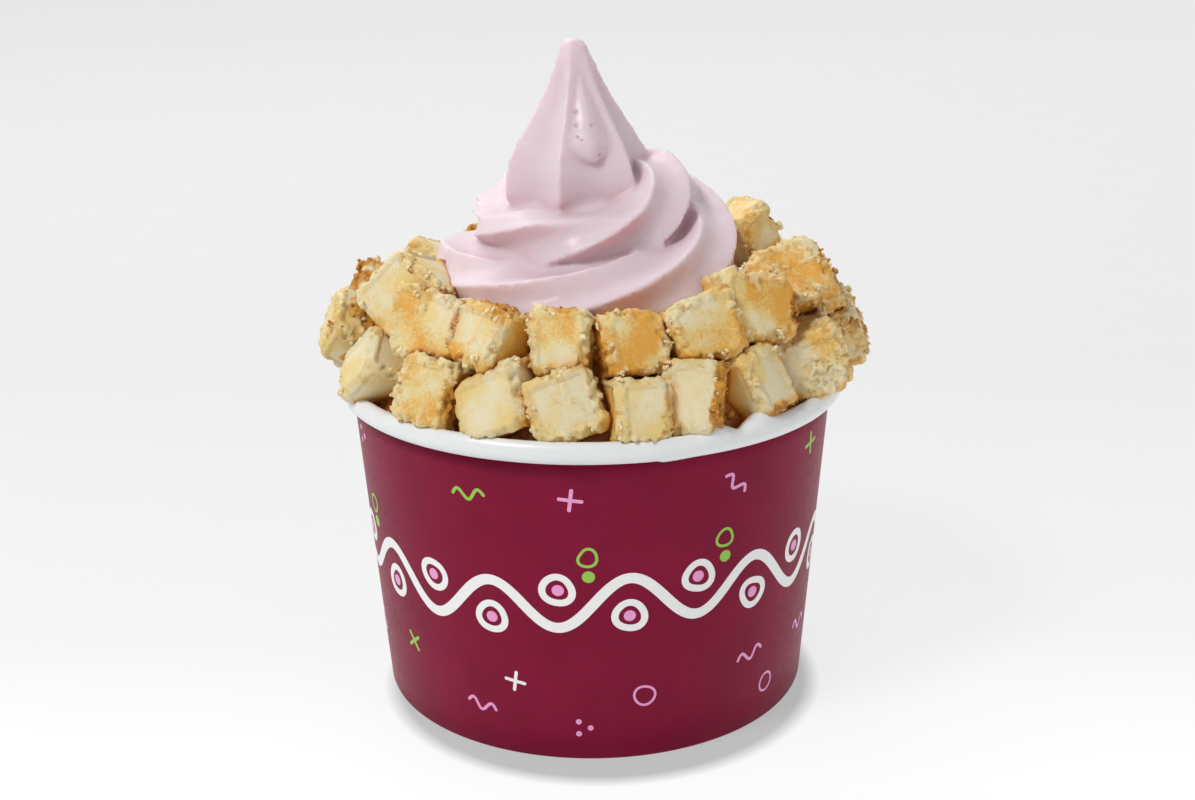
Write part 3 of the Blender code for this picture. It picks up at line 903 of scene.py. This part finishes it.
# How far from a bite its neighbours are looked for, and how close to them it gets painted amber shade and
# the darker painted contact shade
NEIGHBOUR_REACH = 0.0040
AMBER_SHADE_REACH = 0.0036
CONTACT_SHADE_REACH = 0.0013


def bite_axes(mesh):
    """The three directions that a bite's cut faces look in, found from the areas of its faces."""
    faces = sorted(mesh.polygons, key=lambda face: -face.area)
    first = faces[0].normal.copy()
    second = next(face.normal.copy() for face in faces if abs(face.normal.dot(first)) < 0.35)
    second = (second - first * second.dot(first)).normalized()
    return [first, second, first.cross(second)]


def dress_bite(node, around, finish):
    """A bite with torn, crumbly edges, a browned side and smooth cut faces, from its plain solid, with
    painted shade: amber near its neighbours, in its crevices and on its sides away from the light, and
    darker where it touches them.
    """
    draw = random.Random(node.name)
    sides = list(SIDES)
    drawn = (draw.choice(sides), draw.uniform(0.2, 0.9), draw.uniform(0.3, 0.9), draw.uniform(0.3, 0.8))
    side, crusted, crumbliness, goldenness = BITE_LOOKS.get(node.name, drawn)
    seed = draw.uniform(0, 90)
    axes = bite_axes(node.data)
    faced = [axis * sign for axis in axes for sign in (1, -1)]
    crusted_axis = max(faced, key=lambda axis: axis.dot(SIDES[side]))
    mesh = remeshed(node.data.copy(), BITE_VOXEL, smoothing=4)
    points = points_of(mesh)
    normals = normals_of(mesh)
    flat = np.max(np.abs(normals @ np.array([list(axis) for axis in axes]).T), axis=1)
    edge = smooth_step((0.985 - flat) / 0.20)
    patches = noise_at(points, 190, seed)
    crust = smooth_step((normals @ np.array(crusted_axis) - 1.25 + 0.95 * crusted + 0.5 * patches) / 0.2)
    crumbly = smooth_step((0.9 * patches + 0.75 * crumbliness - 0.55 + 0.45 * edge + 0.4 * crust) / 0.5)
    fine = noise_at(points, 1250, seed + 2)
    islands = smooth_step((noise_at(points, 560, seed) + 0.5 * fine + 0.12) / 0.40)
    warp = WARP * noise_at(points, 80, seed + 3)
    torn = np.clip(noise_at(points, 520, seed + 9) + 0.6 * fine + 0.05, 0, 1) * edge
    raised = EDGE_RISE * edge**1.5 + CRUMB_RISE * islands * crumbly
    sunk = CRUMBLY_SINK * crumbly + TEAR_DEPTH * torn
    grit = fine * (GRIT + CRUMBLY_GRIT * (crumbly + edge))
    points += normals * (warp + raised - sunk + grit)[:, None]
    move_points(mesh, points)
    others = surface_of([other for other in around if other is not node])
    away = distance_to(others, points, NEIGHBOUR_REACH)
    # Painted shade near other bites, less on faces that look up
    near = smooth_step(1 - away / AMBER_SHADE_REACH) * (1 - 0.75 * smooth_step(normals[:, 2] / 0.6))
    uneven = np.clip(1 + noise_at(points, 150, seed + 5), 0, 1)
    # Painted shade on the sides that face away from the key light
    golden_bake_and_side_shade = uneven * smooth_step((normals @ SHADED_SIDE - 0.30) / 0.45)
    golden = goldenness * (0.35 + noise_at(points, 110, seed + 7)) + 0.08 * edge + 0.4 * crust
    paint(mesh, "crust", crust)
    paint(mesh, "crumbly", np.maximum(crumbly, 0.8 * edge))
    # Golden is partly painted shade: it deepens near other bites
    paint(mesh, "golden", np.clip(golden + 0.2 * near, 0, 1))
    paint(mesh, "lump", islands * crumbly * (1 - 0.7 * crust) * 0.55)
    # Painted amber shade in small crevices
    paint(mesh, "crevice", hollowness(mesh, 8, 0.00030) * (0.2 + 0.5 * crumbly))
    # Painted amber shade
    paint(mesh, "amber", np.maximum(0.9 * near, 0.85 * golden_bake_and_side_shade))
    # Darker painted shade where bites nearly touch
    paint(mesh, "contact", smooth_step(1 - away / CONTACT_SHADE_REACH))
    name = node.name.replace("bite", "cheesecake")
    mesh_piece(name, mesh, finish, [node.name])
    return {"points": points, "normals": normals_of(mesh), "crumbly": crumbly, "crust": crust}


def make_bites():
    finish = cheesecake_finish()
    nodes = bite_nodes()
    around = [*nodes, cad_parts["frozen_yogurt"]]
    return [dress_bite(node, around, finish) for node in nodes]


def crumb_finish(name, colour):
    finish = Finish(name, IOR=1.42)
    finish.colour(finish.blend(finish.noise(700), lighter(colour, 0.82), lighter(colour, 1.12)))
    finish.roughness(finish.spread(finish.noise(1500), 0.3, 0.7, 0.5, 0.7))
    finish.relief((finish.noise(1900, detail=4.0), 0.00018))
    return finish.material


def icosphere(subdivisions):
    """The points and faces of a plain ball of radius 1."""
    bm = bmesh.new()
    bmesh.ops.create_icosphere(bm, subdivisions=subdivisions, radius=1)
    points = np.array([vert.co for vert in bm.verts])
    faces = [[vert.index for vert in face.verts] for face in bm.faces]
    bm.free()
    return points, faces


# A crumb of at least this radius is a clump of lumps, each smaller by this factor
CLUMP_RADIUS = 0.00045
LUMPS_IN_CLUMP = 3
LUMP_SHARE = 0.68
CRUMBS_BY_THE_RIM = 560


def add_crumb(pile, balls, place, size, draw):
    """One rough little lump, or for a larger crumb a few that stick together."""
    clump = size >= CLUMP_RADIUS
    points, faces = balls[clump]
    lump_size = LUMP_SHARE * size if clump else size
    for _ in range(LUMPS_IN_CLUMP if clump else 1):
        turned = Matrix.Rotation(draw.uniform(0, 6.28), 3, Vector([draw.uniform(-1, 1) for _ in range(3)]))
        squashed = points * np.array([draw.uniform(0.5, 1.25) for _ in range(3)])
        lump = squashed * (1 + 0.8 * noise_at(squashed, 1.1, draw.uniform(0, 90)))[:, None]
        offset = [draw.uniform(-1.6, 1.6) * (size - lump_size) for _ in range(3)]
        first = pile["count"]
        pile["count"] += len(points)
        pile["points"].append(lump @ np.array(turned) * lump_size + np.array(place) + np.array(offset))
        pile["faces"].extend([first + i for i in face] for face in faces)


def make_crumbs(bites):
    """Crumbs on the crumbly parts of the bites, and between the bites and the rim."""
    draw = random.Random(11)
    balls = {False: icosphere(1), True: icosphere(2)}
    piles = {name: {"points": [], "faces": [], "count": 0} for name in LOOSE_CRUMBS}
    for bite in bites:
        share = bite["crumbly"] ** 2 * (bite["normals"][:, 2] > -0.5)
        weights = np.cumsum(share + 1e-9)
        for _ in range(int(16 + 150 * float(np.mean(share)))):
            i = min(int(np.searchsorted(weights, draw.uniform(0, weights[-1]))), len(weights) - 1)
            size = 0.00022 + 0.0008 * draw.random() ** 3.5
            place = Vector(bite["points"][i]) + Vector(bite["normals"][i]) * size * 0.25
            browned = draw.random() < 0.12 + 0.7 * bite["crust"][i]
            add_crumb(piles["browned" if browned else "pale"], balls, place, size, draw)
    for _ in range(CRUMBS_BY_THE_RIM):
        radius = draw.uniform(0.0475, 0.0516)
        place = outward(draw.uniform(0, 360)) * radius + Vector((0, 0, mound_height(radius)))
        pile = piles["browned" if draw.random() < 0.7 else "pale"]
        add_crumb(pile, balls, place, 0.0003 + 0.0009 * draw.random() ** 2, draw)
    for name, colour in LOOSE_CRUMBS.items():
        mesh = bpy.data.meshes.new(f"crumbs_{name}")
        mesh.from_pydata(np.concatenate(piles[name]["points"]), [], piles[name]["faces"])
        mesh.shade_smooth()
        mesh_piece(f"crumbs_{name}", mesh, crumb_finish(f"{name}_crumb", colour))


# The floor's reach to the front and the sides, and its sweep up into the backdrop behind the tub
FLOOR_REACH = 16.0
SWEEP_START = 1.2
SWEEP_RADIUS = 0.8
BACKDROP_HEIGHT = 4.0

# The soft shade at the tub's foot: its centre, where it is full and where it ends
SHADE_CENTRE = (0.0015, -0.0085, 0)
SHADE_FULL = 0.0465
SHADE_END = 0.0505


def grey(level):
    return (level, level, level)


def pale_floor():
    """A bright floor that glows and fades into the backdrop: its glow is painted light, brightest at the
    front, with a soft painted shade at the tub's foot.
    """
    finish = Finish("pale_floor", IOR=1.3, Specular_IOR_Level=0.1, Emission_Strength=1.0)
    depth = finish.node("ShaderNodeSeparateXYZ", {0: finish.place}).outputs["Y"]
    # Painted light: the glow is brightest at the front and dims further back
    near = finish.blend(finish.spread(depth, -0.06, 0.01), grey(0.87), grey(0.76))
    middle = finish.blend(finish.spread(depth, 0.01, 0.22), near, grey(0.69))
    far = finish.blend(finish.spread(depth, 0.3, 1.3), middle, grey(0.725))
    from_centre = {0: finish.place, 1: SHADE_CENTRE}
    offset = finish.node("ShaderNodeVectorMath", from_centre, operation="SUBTRACT").outputs[0]
    away = finish.node("ShaderNodeVectorMath", {0: offset}, operation="LENGTH").outputs["Value"]
    glow = finish.blend(finish.spread(away, SHADE_FULL, SHADE_END, 1.0, 0.0), far, grey(0.42))
    finish.tree.links.new(glow, finish.shader.inputs["Emission Color"])
    finish.colour(finish.blend(finish.noise(3), grey(0.13), grey(0.14)))
    finish.roughness(finish.spread(finish.noise(40), 0.3, 0.7, 0.6, 0.7))
    return finish.material


def make_floor():
    """A pale floor that sweeps up behind the tub."""
    bm = bmesh.new()
    outline = [(-FLOOR_REACH, 0.0), (SWEEP_START, 0.0)]
    for i in range(1, 16):
        angle = math.radians(6 * i)
        outline.append((SWEEP_START + SWEEP_RADIUS * math.sin(angle), SWEEP_RADIUS * (1 - math.cos(angle))))
    outline.append((SWEEP_START + SWEEP_RADIUS, BACKDROP_HEIGHT))
    rows = [[bm.verts.new((x, y, z)) for y, z in outline] for x in (-FLOOR_REACH, FLOOR_REACH)]
    for j in range(len(outline) - 1):
        bm.faces.new((rows[0][j], rows[1][j], rows[1][j + 1], rows[0][j + 1]))
    mesh = mesh_from(bm, "floor")
    mesh.materials.append(pale_floor())
    floor = bpy.data.objects.new("floor", mesh)
    bpy.context.scene.collection.objects.link(floor)


def add_light(name, place, size, power, colour=(1, 1, 1), target=(0, 0, 0.08)):
    light = bpy.data.lights.new(name, "AREA")
    light.energy = power
    light.size = size
    light.color = colour
    lamp = bpy.data.objects.new(name, light)
    lamp.location = place
    lamp.rotation_euler = (Vector(target) - Vector(place)).to_track_quat("-Z", "Y").to_euler()
    bpy.context.scene.collection.objects.link(lamp)


def make_light():
    world = bpy.data.worlds.new("studio")
    bpy.context.scene.world = world
    world.use_nodes = True
    world.node_tree.nodes["Background"].inputs["Color"].default_value = (0.93, 0.95, 1.0, 1.0)
    world.node_tree.nodes["Background"].inputs["Strength"].default_value = 0.26
    add_light("key", (-0.55, -0.48, 0.95), 0.24, 7.9, (1.0, 0.985, 0.96))
    add_light("fill", (0.9, -0.6, 0.5), 0.8, 2.1, (1.0, 0.95, 0.90))
    add_light("back", (-0.25, 0.65, 0.90), 0.6, 4.5)
    bpy.context.scene.view_settings.view_transform = "Standard"


CAMERA_PLACE = Vector((0.0012175, -0.34378, 0.17768))
CAMERA_DOWN = math.radians(18.363)
CAMERA_ROLL = math.radians(0.734)
CAMERA_LENS = 48.227


def make_camera():
    camera = bpy.data.cameras.new("camera")
    camera.lens = CAMERA_LENS
    camera.sensor_width = 36
    camera.clip_start = 0.01
    right = Vector((1, 0, 0))
    up = Vector((0, math.sin(CAMERA_DOWN), math.cos(CAMERA_DOWN)))
    back = Vector((0, -math.cos(CAMERA_DOWN), math.sin(CAMERA_DOWN)))
    rolled_right = right * math.cos(CAMERA_ROLL) - up * math.sin(CAMERA_ROLL)
    rolled_up = right * math.sin(CAMERA_ROLL) + up * math.cos(CAMERA_ROLL)
    holder = bpy.data.objects.new("camera", camera)
    turned = Matrix((rolled_right, rolled_up, back)).transposed().to_4x4()
    holder.matrix_world = Matrix.Translation(CAMERA_PLACE) @ turned
    bpy.context.scene.collection.objects.link(holder)
    bpy.context.scene.camera = holder


make_camera()
make_light()
make_floor()
make_tub()
make_print()
make_yogurt()
make_crumbs(make_bites())
